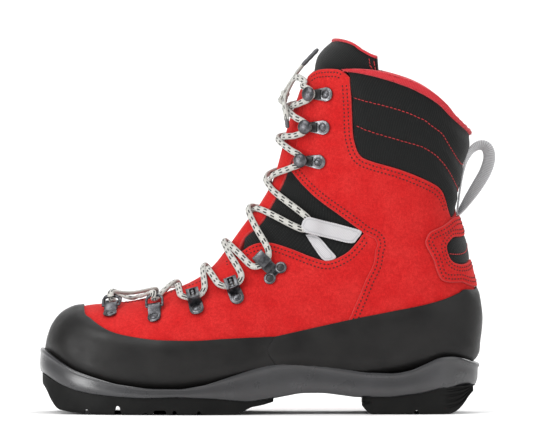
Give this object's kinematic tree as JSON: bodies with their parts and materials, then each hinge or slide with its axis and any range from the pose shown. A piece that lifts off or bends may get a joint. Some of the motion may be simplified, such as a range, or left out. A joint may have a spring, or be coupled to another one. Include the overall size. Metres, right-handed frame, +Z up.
{
  "type": "mountaineering boot",
  "caption": "Left mountaineering boot: suede upper with rubber rand, stiff lugged sole, padded collar, lacing through rings, rollers and hooks, and an ankle that flexes.",
  "frame": {"origin": "centre of the bounding box in plan, at the ground under the sole", "axes": "+Z up, the toe points to -X and the heel to +X, the outer (lateral) side of the foot is at -Y"},
  "size_m": [0.3088, 0.1104, 0.2552],
  "materials": {
    "red_suede": "suede nap",
    "red_binding": "matte",
    "black_textile": "matte weave",
    "lining_fabric": "brushed",
    "rand_rubber": "fine stipple",
    "outsole_rubber": "matte",
    "midsole_foam": "satin",
    "stiffener": "matte",
    "grey_webbing": "ribbed",
    "white_webbing": "woven",
    "lace_fabric": "braided, black flecks",
    "dark_metal": "dark satin"
  },
  "bodies": {
    "foot": {"forefoot_outsole": "outsole_rubber", "heel_outsole": "outsole_rubber", "midsole": "midsole_foam", "toe_rand": "rand_rubber", "heel_rand": "rand_rubber", "shank": "stiffener", "lasting_board": "stiffener", "footbed": "lining_fabric", "vamp": "red_suede", "rear_quarter": "red_suede", "heel_patch": "red_suede", "heel_window": "black_textile", "toe_puff": "stiffener", "heel_counter": "stiffener", "lining": "lining_fabric", "tongue": "red_suede", "lace": "lace_fabric", "lateral_gusset": "black_textile", "lateral_strap": "white_webbing", "lateral_ring_clip_1": "dark_metal", "lateral_ring_clip_2": "dark_metal", "lateral_pulley_frame_1": "dark_metal", "lateral_pulley_frame_2": "dark_metal", "lateral_lock_hook": "dark_metal", "medial_gusset": "black_textile", "medial_strap": "white_webbing", "medial_ring_clip_1": "dark_metal", "medial_ring_clip_2": "dark_metal", "medial_pulley_frame_1": "dark_metal", "medial_pulley_frame_2": "dark_metal", "medial_lock_hook": "dark_metal"},
    "cuff": {"collar_panel": "black_textile", "collar_binding": "red_binding", "tongue_top": "black_textile", "tongue_binding": "red_binding", "lateral_aglet": "stiffener", "medial_aglet": "stiffener", "lateral_cuff": "red_suede", "lateral_hook_1": "dark_metal", "lateral_hook_2": "dark_metal", "lateral_hook_3": "dark_metal", "medial_cuff": "red_suede", "medial_hook_1": "dark_metal", "medial_hook_2": "dark_metal", "medial_hook_3": "dark_metal"},
    "pull_loop": {"pull_loop": "grey_webbing"},
    "lateral_d_ring_1": {"lateral_d_ring_1": "dark_metal"},
    "lateral_d_ring_2": {"lateral_d_ring_2": "dark_metal"},
    "lateral_pulley_roller_1": {"lateral_pulley_roller_1": "dark_metal"},
    "lateral_pulley_roller_2": {"lateral_pulley_roller_2": "dark_metal"},
    "medial_d_ring_1": {"medial_d_ring_1": "dark_metal"},
    "medial_d_ring_2": {"medial_d_ring_2": "dark_metal"},
    "medial_pulley_roller_1": {"medial_pulley_roller_1": "dark_metal"},
    "medial_pulley_roller_2": {"medial_pulley_roller_2": "dark_metal"}
  },
  "joints": [
    {"name": "ankle_flex", "type": "hinge", "parent": "foot", "child": "cuff", "pos_m": [0.066, 0, 0.122], "axis": [0, -1, 0], "range_deg": [0, 12], "stiffness_Nm_per_rad": 25, "deforming": ["lining", "tongue", "lateral_gusset", "medial_gusset", "lateral_strap", "medial_strap", "lace"]},
    {"name": "pull_loop_hinge", "type": "hinge", "parent": "cuff", "child": "pull_loop", "pos_m": [0.131, 0, 0.139], "axis": [0, 1, 0], "range_deg": [0, 30], "stiffness_Nm_per_rad": 0.03},
    {"name": "lateral_d_ring_1_swing", "type": "hinge", "parent": "foot", "child": "lateral_d_ring_1", "pos_m": [-0.10576, -0.02071, 0.07365], "axis": [0.9813, -0.1707, 0.0884], "range_deg": [-15, 50]},
    {"name": "lateral_d_ring_2_swing", "type": "hinge", "parent": "foot", "child": "lateral_d_ring_2", "pos_m": [-0.07618, -0.03482, 0.07343], "axis": [0.9682, -0.2159, 0.1262], "range_deg": [-15, 50]},
    {"name": "lateral_pulley_roller_1_spin", "type": "hinge", "parent": "foot", "child": "lateral_pulley_roller_1", "pos_m": [-0.04948, -0.04292, 0.0793], "axis": [-0.1718, 0.7004, 0.6928], "continuous": true},
    {"name": "lateral_pulley_roller_2_spin", "type": "hinge", "parent": "foot", "child": "lateral_pulley_roller_2", "pos_m": [-0.02275, -0.04267, 0.08627], "axis": [-0.3309, 0.4825, 0.811], "continuous": true},
    {"name": "medial_d_ring_1_swing", "type": "hinge", "parent": "foot", "child": "medial_d_ring_1", "pos_m": [-0.10563, 0.02915, 0.07358], "axis": [-0.9891, -0.1437, -0.0336], "range_deg": [-15, 50]},
    {"name": "medial_d_ring_2_swing", "type": "hinge", "parent": "foot", "child": "medial_d_ring_2", "pos_m": [-0.07587, 0.03723, 0.07334], "axis": [-0.9914, -0.1263, -0.0338], "range_deg": [-15, 50]},
    {"name": "medial_pulley_roller_1_spin", "type": "hinge", "parent": "foot", "child": "medial_pulley_roller_1", "pos_m": [-0.04891, 0.04089, 0.07943], "axis": [-0.1711, -0.7033, 0.69], "continuous": true},
    {"name": "medial_pulley_roller_2_spin", "type": "hinge", "parent": "foot", "child": "medial_pulley_roller_2", "pos_m": [-0.02289, 0.03967, 0.08621], "axis": [-0.3315, -0.4794, 0.8126], "continuous": true}
  ]
}
